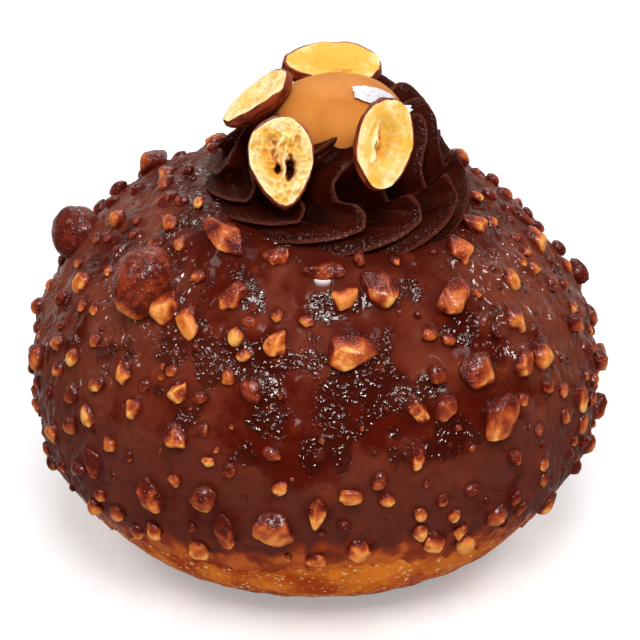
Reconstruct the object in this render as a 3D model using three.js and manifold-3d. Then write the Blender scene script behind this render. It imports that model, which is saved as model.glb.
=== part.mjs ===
// A filled doughnut: a fried bun dipped in chocolate with chopped hazelnuts. On its top sit a piped
// chocolate swirl, a caramel dome, four hazelnut halves and a flake of silver leaf.
// Millimetres, +Z up, the front towards -Y. The origin is the middle of the flat spot under the bun.
// A turn is an angle round an upright axis: 0 is the front, and it grows towards +X. The driving dimensions
// give it in degrees, and the functions take it in radians.

import * as THREE from "three";
import { mergeVertices } from "three/addons/utils/BufferGeometryUtils.js";
import Module from "manifold-3d";

const wasm = await Module();
wasm.setup();

// Driving dimensions

const clearance = 0.3; // gap left between pieces that touch

const bun = {
  width: 86.2, // across the widest girth
  height: 63.1,
  girthHeight: 26.5, // where the girth is widest
  restWidth: 42, // flat spot that it stands on
  upperSquareness: 1.8, // exponents of the outline's two arcs, where 2 is a plain ellipse
  lowerSquareness: 2.15,
  // Shares of the girth by which it is oval, has three lobes, and is fuller on the left shoulder
  unevenness: { oval: 0.01, lobes: 0.008, shoulder: 0.05 },
  columns: 40,
  rowsBelowCoat: 4,
  rowsUnderCoat: 13,
};

const coat = {
  thickness: 1.6,
  edgeHeight: 11.2, // mean height of the lower edge
  edgeLift: 3, // how much higher it ends at the front than at the back
  edgeWave: 1.8,
  lip: 0.8, // how far the rounded lower lip hangs below the edge
};

// Chopped nuts that stand out: turn, height on the coat, length, width, degrees that the long side leans to
// the right, and the share of the width that the middle stands proud of the coat if it isn't the usual one
const largeNuts = [
  [-96, 47.3, 8.2, 8.6, 0, 0.17],
  [-49.5, 51, 11.2, 9.6, 15, 0.26],
  [-119, 54.8, 6.4, 5.6, 80, 0.24],
  [-112, 51, 4, 3.6, 30, 0.28],
  [-108.5, 48.4, 3.2, 2.8, 0, 0.25],
  [-75.5, 58, 4.2, 3.4, 0],
  [-41, 49.6, 5.8, 5, 20],
  [-33, 49.2, 6.4, 3.6, -40],
  [-29.5, 40.8, 4.4, 3.2, 40],
  [-28, 35.2, 5, 4.2, -60],
  [-9.5, 48.6, 4.8, 3.6, 30],
  [-23, 53, 5.6, 4.2, 0],
  [-36, 58.1, 10.2, 4.8, -68],
  [-14, 57.2, 4.2, 3.4, 60],
  [1.5, 56, 6.8, 3.6, 90],
  [-44, 40.7, 3.8, 3.2, 0],
  [-39, 37.2, 3.8, 3.4, 0],
  [-63, 26.4, 4.4, 3.4, 0],
  [-47.5, 26.6, 5.6, 3.4, -10],
  [-32.7, 25.4, 6.6, 4, -30],
  [-17.5, 22.4, 6, 3.6, -10],
  [-8.2, 23.6, 6.4, 6, 0],
  [0, 27, 5.2, 3, 10],
  [7.6, 53.4, 5.2, 4, 25],
  [17.5, 53.6, 7.4, 6, -50],
  [7.5, 47.6, 8.2, 5.8, 85],
  [37.5, 51.2, 7, 5, 50],
  [50, 55.2, 5.4, 4.4, 10],
  [66, 56, 5, 3.2, -20],
  [52, 46.2, 5.4, 4.4, -10],
  [48.5, 41, 4.8, 4.2, 60],
  [35.5, 42.2, 7.2, 6, 80],
  [26.5, 39.6, 5, 4.2, 80],
  [37.5, 35.6, 7.8, 6.8, 50],
  [20, 39.8, 5, 2.8, -20],
  [86, 49.6, 4.8, 4.2, 0],
  [91, 43.6, 4.4, 3.6, 20],
  [90, 29, 3.8, 3, 90, 0.4],
  [64.5, 31, 5.2, 3.6, -10],
  [19, 34, 5, 2.8, 0],
  [7.8, 19.6, 4.8, 4.2, 0],
  [22.7, 18.8, 4.8, 4.2, 0],
  [55, 15.6, 4.6, 3.2, 60],
];

const smallNuts = {
  count: 130,
  lowest: 17, // heights between which they lie on the coat
  highest: 60,
  shortest: 2.2,
  longest: 4.2,
  slimness: 0.78, // width over length
  barePatch: { turn: 3, height: 41, reach: 15 }, // a stretch of the front where they are sunk in the glaze
  seed: 5,
};
const nutProudness = 0.12; // share of a nut's width that its middle stands above the coat
const nutTallness = 0.8; // height over width
const nutRoughness = 0.45; // how unevenly the corners lie
const largeNutLength = 3.9; // longer chunks have more sides

const swirl = {
  centre: new THREE.Vector2(2.9, -2.5),
  ridges: 13,
  frontReach: 0.04, // the foot reaches out by this share of its radius
  frontTurn: 20, // most at this turn
  firstRidge: 8.5, // turn of the first ridge's valley at the rim
  // The lips' line from the rim round the caramel to the foot: distance from the axis, height above
  // the coat, and twist
  outline: [
    [8.6, 7.6, 16],
    [11.2, 9.2, 12],
    [14.2, 7.8, -1],
    [15.6, 4.1, -14],
    [17.2, 4.1, -4],
    [18.8, 3.7, 2.5],
    [20, 2.3, -6],
    [20.6, 1.1, -22],
    [20.4, -0.3, -40],
  ],
  rows: 19,
  ridgeDepth: 3.2, // from a lip down to its valley
  rimDepth: 0.4, // share of that depth at the rim and at the foot
  // Across one ridge, from its valley: phase and how proud it is. It rises gently to a lip and then drops
  ridgeSection: [
    [0, 0],
    [0.38, 0.3],
    [0.74, 0.62],
    [0.84, 1],
    [0.93, 0.75],
  ],
  lipLean: 5, // degrees that a lip leans over the next valley
  levelling: 0.5, // how far the rim lies level and doesn't follow the coat's slope
  tilt: 0.07, // how much the rim climbs towards the back
  lean: new THREE.Vector2(1.4, 1.2), // how far the rim is shifted from the foot
  ridgeSlope: [78, 8], // degrees above level at which a ridge stands out, at the rim and at the foot
  floorDepth: 3, // how far the raw foot reaches below the coat's surface before it is cut
  bowlRadius: 6,
  bowlHeight: 6,
  roomHeight: 8, // above the coat, kept free of chopped nuts
};

const caramel = {
  width: 21.4,
  rimHeight: 69.6,
  top: 77,
  bottom: 66.6,
  roundness: 2.3, // exponent of the dome's outline
  columns: 32,
  rows: 7,
};

// Hazelnut halves: middle of the cut face, the way the face looks, the way the blunt end points, and sizes
const nutHalves = [
  {
    name: "hazelnut_half_back",
    at: [2.2, 8, 76.2],
    face: [0.1, -0.27, 0.955],
    along: [1, 0.143, -0.064],
    length: 16.3,
    width: 10.4,
    depth: 4.8,
    hollow: 0.7,
  },
  {
    name: "hazelnut_half_left",
    at: [-9.6, -3.7, 75.2],
    face: [-0.56, -0.07, 0.83],
    along: [0.79, 0.27, 0.55],
    length: 12.8,
    width: 9.4,
    depth: 3.4,
    hollow: 0.6,
  },
  {
    name: "hazelnut_half_front_left",
    at: [-5.3, -18.6, 70.8],
    face: [0.06, -0.87, 0.49],
    along: [-0.08, 0.48, 0.87],
    length: 14.2,
    width: 9.8,
    depth: 4.8,
    hollow: 3,
  },
  {
    name: "hazelnut_half_front_right",
    at: [10, -18.4, 73.4],
    face: [0.42, -0.8, 0.42],
    along: [0.18, 0.52, 0.84],
    length: 14.2,
    width: 9.4,
    depth: 5,
    hollow: 1.3,
  },
];
const nutHalf = {
  columns: 18,
  skinRows: 4,
  taper: 0.2, // how much the tip is slimmer than the blunt end
  girthDrop: 0.5, // the widest girth lies this far below the cut face
  rimShare: 0.95, // the cut face's size against that girth
  hollowShare: 0.62, // the hollow's size against the cut face
};

const leaf = {
  from: new THREE.Vector2(5.3, -6.8),
  to: new THREE.Vector2(14, -5.6),
  width: 4.2,
  thickness: 0.25,
  lift: 0.45, // above the caramel
  rimLevel: 73.2, // the swirl's rim, which carries its outer end
  wave: 0.18,
  columns: 10,
  rows: 4,
};

const colours = {
  dough: { color: 0xbd6a2a, roughness: 0.6 },
  coat: { color: 0x632718, roughness: 0.25 },
  swirl: { color: 0x33150d, roughness: 0.4 },
  caramel: { color: 0xdd8d3e, roughness: 0.25 },
  hazelnut: { color: 0xf2c67c, roughness: 0.55 },
  silver: { color: 0xe8e6e8, roughness: 0.3, metalness: 0.9 },
};

// Small helpers

const radians = THREE.MathUtils.degToRad;

// A repeatable draw between 0 and 1 for one item and one purpose.
function draw(item, purpose) {
  const x = Math.sin(item * 12.9898 + purpose * 78.233 + smallNuts.seed) * 43758.5453;
  return x - Math.floor(x);
}

// A closed surface through rings of points, from one pole to the other. Rings run towards growing turns.
function closedSkin(firstPole, rings, lastPole) {
  const columns = rings[0].length;
  const points = [firstPole, ...rings.flat(), lastPole];
  const corner = (row, column) => 1 + row * columns + (column % columns);
  const faces = [];
  for (let column = 0; column < columns; column++) {
    faces.push(0, corner(0, column + 1), corner(0, column));
    for (let row = 0; row + 1 < rings.length; row++) {
      const low = [corner(row, column), corner(row, column + 1)];
      const high = [corner(row + 1, column), corner(row + 1, column + 1)];
      faces.push(low[0], low[1], high[1], low[0], high[1], high[0]);
    }
    faces.push(corner(rings.length - 1, column), corner(rings.length - 1, column + 1), points.length - 1);
  }
  return new THREE.BufferGeometry().setFromPoints(points).setIndex(faces);
}

function solidOf(geometry) {
  const bare = geometry.clone();
  bare.deleteAttribute("normal");
  bare.deleteAttribute("uv");
  const merged = mergeVertices(bare);
  const mesh = new wasm.Mesh({
    numProp: 3,
    vertProperties: merged.attributes.position.array,
    triVerts: new Uint32Array(merged.index.array),
  });
  return new wasm.Manifold(mesh);
}

function geometryOf(solid) {
  const mesh = solid.getMesh();
  const geometry = new THREE.BufferGeometry();
  geometry.setAttribute("position", new THREE.BufferAttribute(mesh.vertProperties, 3));
  geometry.setIndex(new THREE.BufferAttribute(mesh.triVerts, 1));
  geometry.computeVertexNormals();
  return geometry;
}

// The largest body of a solid, without the loose scraps that a cut can leave.
function mainBody(solid) {
  return solid.decompose().sort((a, b) => b.volume() - a.volume())[0];
}

function cut(solid, cutters) {
  return solid.subtract(wasm.Manifold.union(cutters));
}

function around(count, pointAt) {
  return Array.from({ length: count }, (_, column) => pointAt(radians((360 * column) / count)));
}

// The bun's outline: rise is -1 at the flat spot's rim, 0 at the widest girth and 1 at the top

function outlinePoint(rise) {
  const angle = (Math.min(Math.abs(rise), 1) * Math.PI) / 2;
  const across = Math.max(Math.cos(angle), 0);
  const halfWidth = bun.width / 2;
  if (rise >= 0) {
    const power = 2 / bun.upperSquareness;
    const rounding = bun.height - bun.girthHeight;
    const height = bun.girthHeight + rounding * Math.sin(angle) ** power;
    return new THREE.Vector2(halfWidth * across ** power, height);
  }
  const power = 2 / bun.lowerSquareness;
  const halfRest = bun.restWidth / 2;
  return new THREE.Vector2(
    halfRest + (halfWidth - halfRest) * across ** power,
    bun.girthHeight * (1 - Math.sin(angle) ** power),
  );
}

function outlineNormal(rise) {
  const step = 0.004;
  const before = outlinePoint(Math.max(rise - step, -1));
  const along = outlinePoint(Math.min(rise + step, 1)).sub(before);
  return new THREE.Vector2(along.y, -along.x).normalize();
}

function riseAtHeight(height) {
  const above = height >= bun.girthHeight;
  const reach = above ? bun.height - bun.girthHeight : bun.girthHeight;
  const squareness = above ? bun.upperSquareness : bun.lowerSquareness;
  const level = Math.min(Math.abs(height - bun.girthHeight) / reach, 1);
  const rise = Math.asin(level ** (squareness / 2)) / (Math.PI / 2);
  return above ? rise : -rise;
}

// The rise of the bun under a height on the coat.
function riseOnCoat(height) {
  const above = height >= bun.girthHeight;
  const reach = above ? bun.height - bun.girthHeight : bun.girthHeight;
  const stretch = reach / (reach + clearance + coat.thickness);
  return riseAtHeight(bun.girthHeight + (height - bun.girthHeight) * stretch);
}

// How much the girth swells and shrinks round the bun.
function swelling(turn, rise) {
  const { oval, lobes, shoulder } = bun.unevenness;
  const fullShoulder = Math.max(0, Math.cos(turn + 1.9)) ** 2 * Math.sin(Math.PI * Math.max(0, rise));
  const uneven = oval * Math.cos(2 * turn + 0.9) + lobes * Math.cos(3 * turn - 1.4 + 2 * rise);
  return 1 + uneven + shoulder * fullShoulder;
}

function bunPoint(turn, rise, offset) {
  const profile = outlinePoint(rise).addScaledVector(outlineNormal(rise), offset);
  const radius = profile.x * swelling(turn, rise);
  return new THREE.Vector3(radius * Math.sin(turn), -radius * Math.cos(turn), profile.y);
}

function coatEdgeRise(turn) {
  const wave = 0.6 * Math.sin(3 * turn + 1.1) + 0.4 * Math.sin(7 * turn + 0.4);
  return riseAtHeight(coat.edgeHeight + coat.edgeLift * Math.cos(turn) + coat.edgeWave * wave);
}

// Rings over the stretch that the coat covers, from its edge up, at an offset from the bun.
function coveredRings(offset) {
  return Array.from({ length: bun.rowsUnderCoat }, (_, row) =>
    around(bun.columns, (turn) => {
      const rise = THREE.MathUtils.lerp(coatEdgeRise(turn), 1, row / bun.rowsUnderCoat);
      return bunPoint(turn, rise, offset);
    }),
  );
}

function bunSkin(offset) {
  const bareRings = Array.from({ length: bun.rowsBelowCoat }, (_, row) =>
    around(bun.columns, (turn) => {
      const rise = THREE.MathUtils.lerp(-1, coatEdgeRise(turn), row / bun.rowsBelowCoat);
      return bunPoint(turn, rise, offset);
    }),
  );
  const foot = new THREE.Vector3(0, 0, -offset);
  const top = new THREE.Vector3(0, 0, bun.height + offset);
  return closedSkin(foot, [...bareRings, ...coveredRings(offset)], top);
}

// The height of the coat's surface over a place in plan.
function coatHeightAt(x, y) {
  const halfWidth = bun.width / 2 + coat.thickness + clearance;
  const top = bun.height + coat.thickness + clearance;
  const across = Math.min(Math.hypot(x, y) / halfWidth, 1) ** (bun.upperSquareness / 2);
  const level = Math.sqrt(1 - across ** 2) ** (2 / bun.upperSquareness);
  return bun.girthHeight + (top - bun.girthHeight) * level;
}

// The chocolate coat with its chopped nuts

function coatShell() {
  const outer = clearance + coat.thickness;
  const innerRings = coveredRings(clearance).reverse();
  const lipRing = around(bun.columns, (turn) => {
    const point = bunPoint(turn, coatEdgeRise(turn), clearance + 0.6 * coat.thickness);
    return point.setZ(point.z - coat.lip);
  });
  const innerTop = new THREE.Vector3(0, 0, bun.height + clearance);
  const outerTop = new THREE.Vector3(0, 0, bun.height + outer);
  return closedSkin(innerTop, [...innerRings, lipRing, ...coveredRings(outer)], outerTop);
}

// A chunk about two across, with uneven corners: many-sided where it is large, a skewed block where small.
function roughChunk(item, large) {
  const shape = large ? new THREE.IcosahedronGeometry(1) : new THREE.BoxGeometry(1.4, 1.5, 1.5);
  shape.deleteAttribute("normal");
  shape.deleteAttribute("uv");
  const chunk = mergeVertices(shape);
  const corners = chunk.attributes.position;
  const point = new THREE.Vector3();
  for (let corner = 0; corner < corners.count; corner++) {
    point.fromBufferAttribute(corners, corner);
    point.multiplyScalar(1 + nutRoughness * (draw(item, corner + 10) - 0.5));
    corners.setXYZ(corner, point.x, point.y, point.z);
  }
  return chunk;
}

function choppedNut(item, turn, height, length, width, lean, proudness = nutProudness) {
  const chunk = roughChunk(item, length > largeNutLength);
  const rise = riseOnCoat(height);
  const profileNormal = outlineNormal(rise);
  const out = new THREE.Vector3(
    profileNormal.x * Math.sin(turn),
    -profileNormal.x * Math.cos(turn),
    profileNormal.y,
  );
  const right = new THREE.Vector3(Math.cos(turn), Math.sin(turn), 0);
  const up = out.clone().cross(right);
  const frame = new THREE.Matrix4().makeBasis(right, up, out);
  const place = bunPoint(turn, rise, clearance + coat.thickness + proudness * width);
  chunk.scale(width / 2, length / 2, (nutTallness * width) / 2);
  chunk.rotateZ(-radians(lean));
  chunk.applyMatrix4(frame.setPosition(place));
  return chunk;
}

function swirlReach() {
  return Math.max(...swirl.outline.map(([radius]) => radius)) + 2 * clearance;
}

// Room for the swirl, which the nuts at its foot don't reach into.
function swirlRoom() {
  const levels = [-swirl.floorDepth, swirl.roomHeight];
  const reach = swirlReach();
  const rings = levels.map((height) => around(bun.columns, (turn) => swirlPoint(reach, height, turn)));
  const [foot, top] = levels.map((height) => swirlPoint(0, height, 0));
  return closedSkin(foot, rings, top);
}

function clearOfSwirl(turn, height) {
  const place = bunPoint(turn, riseOnCoat(height), coat.thickness);
  return Math.hypot(place.x - swirl.centre.x, place.y - swirl.centre.y) > swirlReach();
}

// Small nuts lie on a spiral of golden-angle steps, each shifted a little, and leave the large ones room.
function smallNutPlaces() {
  const goldenAngle = Math.PI * (3 - Math.sqrt(5));
  const places = [];
  for (let item = 0; item < smallNuts.count; item++) {
    const level = (item + draw(item, 1)) / smallNuts.count;
    const height = THREE.MathUtils.lerp(smallNuts.lowest, smallNuts.highest, level);
    const turn = item * goldenAngle + 0.3 * (draw(item, 2) - 0.5);
    const length = THREE.MathUtils.lerp(smallNuts.shortest, smallNuts.longest, draw(item, 3) ** 2);
    places.push([turn, height, length, length * smallNuts.slimness, 180 * draw(item, 4)]);
  }
  return places
    .filter(([turn, height]) => !onBarePatch(turn, height))
    .filter(([turn, height, length]) => farFromLargeNuts(turn, height, length));
}

function onBarePatch(turn, height) {
  const { barePatch } = smallNuts;
  const middle = bunPoint(radians(barePatch.turn), riseOnCoat(barePatch.height), 0);
  return bunPoint(turn, riseOnCoat(height), 0).distanceTo(middle) < barePatch.reach;
}

function farFromLargeNuts(turn, height, length) {
  const place = bunPoint(turn, riseOnCoat(height), 0);
  return largeNuts.every(([largeTurn, largeHeight, largeLength]) => {
    const other = bunPoint(radians(largeTurn), riseOnCoat(largeHeight), 0);
    return place.distanceTo(other) > (length + largeLength) / 2;
  });
}

function coatWithNuts() {
  const large = largeNuts.map(([turn, ...sizes]) => [radians(turn), ...sizes]);
  const nuts = [...large, ...smallNutPlaces()]
    .filter(([turn, height]) => clearOfSwirl(turn, height))
    .map((place, item) => solidOf(choppedNut(item, ...place)));
  const trimmed = wasm.Manifold.union(nuts).subtract(solidOf(swirlRoom()));
  const fused = solidOf(coatShell()).add(trimmed);
  return mainBody(fused.subtract(solidOf(bunSkin(clearance))));
}

// The piped swirl: two tiers of leaning ridges that twist back and forth on the way down

function swirlPoint(radius, height, turn) {
  const rimHeight = Math.max(...swirl.outline.map((point) => point[1]));
  const lifted = THREE.MathUtils.clamp(height / rimHeight, 0, 1);
  const towardsFront = Math.max(0, Math.cos(turn - radians(swirl.frontTurn)));
  const reach = radius * (1 + swirl.frontReach * (1 - lifted) * towardsFront ** 2);
  const x = swirl.centre.x + swirl.lean.x * lifted + reach * Math.sin(turn);
  const y = swirl.centre.y + swirl.lean.y * lifted - reach * Math.cos(turn);
  const middle = coatHeightAt(swirl.centre.x, swirl.centre.y);
  const ground = THREE.MathUtils.lerp(coatHeightAt(x, y), middle, swirl.levelling * lifted);
  return new THREE.Vector3(x, y, height + ground + swirl.tilt * lifted * (y - swirl.centre.y));
}

function swirlRing(radius, height, twist, depth, normal) {
  const ring = [];
  for (let ridge = 0; ridge < swirl.ridges; ridge++) {
    for (const [phase, proud] of swirl.ridgeSection) {
      const turn = swirl.firstRidge + (360 * (ridge + phase)) / swirl.ridges + twist + swirl.lipLean * proud;
      const shift = depth * (proud - 1);
      ring.push(swirlPoint(radius + shift * normal.x, height + shift * normal.y, radians(turn)));
    }
  }
  return ring;
}

function swirlSkin() {
  const line = new THREE.CatmullRomCurve3(swirl.outline.map((point) => new THREE.Vector3(...point)));
  const rings = [];
  for (let row = 0; row < swirl.rows; row++) {
    const level = row / (swirl.rows - 1);
    const point = line.getPoint(level);
    const slope = radians(THREE.MathUtils.lerp(...swirl.ridgeSlope, level));
    const normal = new THREE.Vector2(Math.cos(slope), Math.sin(slope));
    const fullness = THREE.MathUtils.lerp(swirl.rimDepth, 1, Math.sin(Math.PI * level));
    const depth = swirl.ridgeDepth * fullness;
    rings.unshift(swirlRing(point.x, point.y, point.z, depth, normal));
  }
  const flat = new THREE.Vector2(0, 1);
  const [footRadius, , footTwist] = swirl.outline.at(-1);
  const foot = swirlRing(0.7 * footRadius, -swirl.floorDepth, footTwist, 0, flat);
  const bowl = swirlRing(swirl.bowlRadius, swirl.bowlHeight, 0, 0, flat);
  const footPole = swirlPoint(0, -swirl.floorDepth, 0);
  const bowlPole = swirlPoint(0, swirl.bowlHeight, 0);
  return closedSkin(footPole, [foot, ...rings, bowl], bowlPole);
}

// The caramel dome

function caramelSkin(grow) {
  const { x, y } = swirl.centre;
  const halfWidth = caramel.width / 2 + grow;
  const ringAt = (radius, height) =>
    around(caramel.columns, (turn) => {
      return new THREE.Vector3(x + radius * Math.sin(turn), y - radius * Math.cos(turn), height);
    });
  const rings = [ringAt(0.8 * halfWidth, caramel.bottom - grow)];
  for (let row = 0; row < caramel.rows; row++) {
    const angle = (Math.PI / 2) * (row / caramel.rows);
    const power = 2 / caramel.roundness;
    const height = caramel.rimHeight + (caramel.top + grow - caramel.rimHeight) * Math.sin(angle) ** power;
    rings.push(ringAt(halfWidth * Math.cos(angle) ** power, height));
  }
  const foot = new THREE.Vector3(x, y, caramel.bottom - grow);
  return closedSkin(foot, rings, new THREE.Vector3(x, y, caramel.top + grow));
}

// A hazelnut half: +Z out of the cut face, +Y towards the blunt end

function nutHalfSkin({ length, width, depth, hollow }, grow) {
  const ringAt = (scale, height) =>
    around(nutHalf.columns, (turn) => {
      const x = (width / 2 + grow) * Math.sin(turn) * (1 - nutHalf.taper * Math.cos(turn));
      const y = -(length / 2 + grow) * Math.cos(turn);
      return new THREE.Vector3(x * scale, y * scale, height);
    });
  const rings = [];
  for (let row = 1; row <= nutHalf.skinRows; row++) {
    const angle = (Math.PI / 2) * (1 - row / nutHalf.skinRows);
    const below = (depth - nutHalf.girthDrop + grow) * Math.sin(angle);
    rings.push(ringAt(Math.cos(angle), -nutHalf.girthDrop - below));
  }
  const faceHeight = grow;
  rings.push(ringAt(nutHalf.rimShare, faceHeight));
  const sunk = grow > 0 ? 0 : hollow;
  rings.push(ringAt(nutHalf.hollowShare * 1.15, faceHeight - 0.1 * sunk));
  rings.push(ringAt(nutHalf.hollowShare * 0.75, faceHeight - 0.8 * sunk));
  const back = new THREE.Vector3(0, 0, -depth - grow);
  return closedSkin(back, rings, new THREE.Vector3(0, 0, faceHeight - sunk));
}

function nutHalfPlace({ at, face, along }) {
  const out = new THREE.Vector3(...face).normalize();
  const right = new THREE.Vector3(...along).cross(out).normalize();
  const blunt = out.clone().cross(right);
  return new THREE.Matrix4().makeBasis(right, blunt, out).setPosition(...at);
}

function grownNutHalves() {
  return nutHalves.map((nut) => solidOf(nutHalfSkin(nut, clearance).applyMatrix4(nutHalfPlace(nut))));
}

// The silver leaf: one wavy sheet over the caramel, split alike on both faces

function leafHeight(x, y) {
  const out = Math.hypot(x - swirl.centre.x, y - swirl.centre.y) / (caramel.width / 2);
  const level = (1 - Math.min(out, 1) ** caramel.roundness) ** (1 / caramel.roundness);
  const dome = caramel.rimHeight + (caramel.top - caramel.rimHeight) * level;
  return Math.max(dome, leaf.rimLevel) + leaf.lift;
}

function leafSkin() {
  const run = leaf.to.clone().sub(leaf.from);
  const side = new THREE.Vector2(-run.y, run.x).normalize();
  const pointAt = (column, row, lift) => {
    const along = column / leaf.columns;
    const width = leaf.width * (0.45 + 0.55 * Math.sin(Math.PI * (0.12 + 0.8 * along)));
    const across = (row / leaf.rows - 0.5) * width;
    const spot = leaf.from.clone().addScaledVector(run, along).addScaledVector(side, across);
    const ripple = leaf.wave * (1 + Math.sin(9 * along + row));
    return new THREE.Vector3(spot.x, spot.y, leafHeight(spot.x, spot.y) + ripple + lift);
  };
  const corner = (column, row, face) => (face * (leaf.columns + 1) + column) * (leaf.rows + 1) + row;
  const points = [];
  for (const lift of [0, leaf.thickness]) {
    for (let column = 0; column <= leaf.columns; column++) {
      for (let row = 0; row <= leaf.rows; row++) points.push(pointAt(column, row, lift));
    }
  }
  const faces = [];
  const strip = ([c1, r1], [c2, r2]) => {
    const [a, b] = [corner(c1, r1, 0), corner(c2, r2, 0)];
    const [c, d] = [corner(c2, r2, 1), corner(c1, r1, 1)];
    faces.push(a, b, c, a, c, d);
  };
  for (let column = 0; column < leaf.columns; column++) {
    for (let row = 0; row < leaf.rows; row++) {
      const square = [[column, row], [column + 1, row], [column + 1, row + 1], [column, row + 1]];
      const [a, b, c, d] = square.map((spot) => corner(...spot, 1));
      faces.push(a, b, c, a, c, d);
      const [e, f, g, h] = square.map((spot) => corner(...spot, 0));
      faces.push(e, g, f, e, h, g);
    }
    strip([column, 0], [column + 1, 0]);
    strip([column + 1, leaf.rows], [column, leaf.rows]);
  }
  for (let row = 0; row < leaf.rows; row++) {
    strip([0, row + 1], [0, row]);
    strip([leaf.columns, row], [leaf.columns, row + 1]);
  }
  return new THREE.BufferGeometry().setFromPoints(points).setIndex(faces);
}

// Assembly

function piece(name, geometry, finish) {
  const mesh = new THREE.Mesh(geometry, new THREE.MeshStandardMaterial(finish));
  mesh.name = name;
  return mesh;
}

const seats = grownNutHalves();
const coatEnvelope = solidOf(bunSkin(coat.thickness + 2 * clearance));
const swirlSolid = cut(solidOf(swirlSkin()), [coatEnvelope, solidOf(caramelSkin(clearance)), ...seats]);
const caramelSolid = cut(solidOf(caramelSkin(0)), seats);

const topping = new THREE.Group();
topping.add(piece("chocolate_swirl", geometryOf(mainBody(swirlSolid)), colours.swirl));
topping.add(piece("caramel_dome", geometryOf(mainBody(caramelSolid)), colours.caramel));
for (const nut of nutHalves) {
  const half = piece(nut.name, nutHalfSkin(nut, 0), colours.hazelnut);
  half.applyMatrix4(nutHalfPlace(nut));
  topping.add(half);
}
topping.add(piece("silver_leaf", leafSkin(), colours.silver));

const doughnut = new THREE.Group();
doughnut.add(piece("dough", bunSkin(0), colours.dough));
doughnut.add(piece("chocolate_coat", geometryOf(coatWithNuts()), colours.coat));
doughnut.add(topping);

export default doughnut;
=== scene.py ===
import math
import time

import bpy
import numpy as np
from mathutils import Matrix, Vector


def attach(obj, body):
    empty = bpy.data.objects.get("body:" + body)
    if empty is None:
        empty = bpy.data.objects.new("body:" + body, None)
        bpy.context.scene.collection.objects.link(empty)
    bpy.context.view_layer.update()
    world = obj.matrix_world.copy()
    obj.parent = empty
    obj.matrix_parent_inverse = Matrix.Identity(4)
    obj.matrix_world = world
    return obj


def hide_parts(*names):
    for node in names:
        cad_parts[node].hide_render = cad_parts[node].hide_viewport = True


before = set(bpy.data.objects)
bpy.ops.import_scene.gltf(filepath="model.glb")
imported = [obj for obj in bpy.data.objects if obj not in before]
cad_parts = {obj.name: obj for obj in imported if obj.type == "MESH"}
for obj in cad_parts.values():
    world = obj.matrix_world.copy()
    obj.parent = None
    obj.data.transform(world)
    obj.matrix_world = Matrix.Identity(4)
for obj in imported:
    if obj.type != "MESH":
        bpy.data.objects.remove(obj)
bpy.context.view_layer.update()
started = time.time()
mm = 0.001  # shapes are worked out in millimetres, and written to the meshes in metres

# A turn is an angle round an upright axis: 0 at the front (-Y), growing towards +X


def tone(red, green, blue):
    # screen colour of 0 to 255 as the linear colour that shaders take
    linear = [((c / 255 + 0.055) / 1.055) ** 2.4 if c > 10 else c / 3294.6 for c in (red, green, blue)]
    return (*linear, 1.0)


def fraction(item, purpose, seed=5):
    # repeatable draw between 0 and 1, the same one that spread the nuts of the frame
    value = math.sin(item * 12.9898 + purpose * 78.233 + seed) * 43758.5453
    return value - math.floor(value)


def unit(vectors):
    return vectors / np.linalg.norm(vectors, axis=-1, keepdims=True)


latticeDraw = np.random.default_rng(7)
latticeOrder = latticeDraw.permutation(256)
latticePull = unit(latticeDraw.normal(size=(256, 3)))


def noise(points, size, shift):
    # smooth noise between about -1 and 1, with lumps of one size in millimetres
    spot = points / size + np.array([shift, -0.7 * shift, 1.3 * shift])
    cell = np.floor(spot).astype(int)
    part = spot - cell
    ease = part**3 * (part * (part * 6 - 15) + 10)
    total = np.zeros(len(spot))
    for step in np.ndindex(2, 2, 2):
        x, y, z = (cell + step).T & 255
        pull = latticePull[latticeOrder[(latticeOrder[(latticeOrder[x] + y) & 255] + z) & 255]]
        weight = np.prod(np.where(step, ease, 1 - ease), axis=1)
        total += weight * np.sum(pull * (part - step), axis=1)
    return 1.6 * total


def noises(points, *rows):
    # sum of noises, each with its height, size and shift
    return sum(height * noise(points, size, shift) for height, size, shift in rows)


def ramp(low, high, value):
    return np.clip((value - low) / (high - low), 0, 1)


def easeStep(low, high, value):
    share = ramp(low, high, value)
    return share * share * (3 - 2 * share)


def between(span, share):
    return span[0] + (span[1] - span[0]) * share


def bell(value, middle, width):
    return np.exp(-(((value - middle) / width) ** 2))


def pointsOf(x, y, z):
    return np.stack([x, y, z], axis=-1)


def ringPoints(turn, radius, height):
    return pointsOf(radius * np.sin(turn), -radius * np.cos(turn), height)


def readCorners(mesh):
    flat = np.empty(len(mesh.vertices) * 3)
    mesh.vertices.foreach_get("co", flat)
    return flat.reshape(-1, 3)


def writeCorners(mesh, corners):
    mesh.vertices.foreach_set("co", np.ascontiguousarray(corners, dtype=np.float64).ravel())
    mesh.update()


def addMarks(mesh, **marks):
    # one number for each corner, which a material reads by its name
    for name, values in marks.items():
        mark = mesh.attributes.new(name, "FLOAT", "POINT")
        mark.data.foreach_set("value", np.ascontiguousarray(values, dtype=np.float32))


def gridOf(name, form):
    bpy.ops.mesh.primitive_grid_add(x_subdivisions=form["columns"], y_subdivisions=form["rows"], size=2)
    piece = bpy.context.object
    piece.name = piece.data.name = name
    return piece, readCorners(piece.data)


def roundSkin(name, form):
    # grid closed to a ball, with each corner's turn, and its share of the way down from the upper pole
    piece, flat = gridOf(name, form)
    fall = np.pi / 2 * (1 - flat[:, 1])
    writeCorners(piece.data, ringPoints(np.pi * flat[:, 0], np.sin(fall), np.cos(fall)))
    bpy.ops.object.mode_set(mode="EDIT")
    bpy.ops.mesh.select_all(action="SELECT")
    bpy.ops.mesh.remove_doubles(threshold=1e-5)
    bpy.ops.mesh.normals_make_consistent(inside=False)
    bpy.ops.object.mode_set(mode="OBJECT")
    x, y, z = readCorners(piece.data).T
    return piece, np.arctan2(x, -y), np.arccos(np.clip(z, -1, 1)) / np.pi


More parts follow.
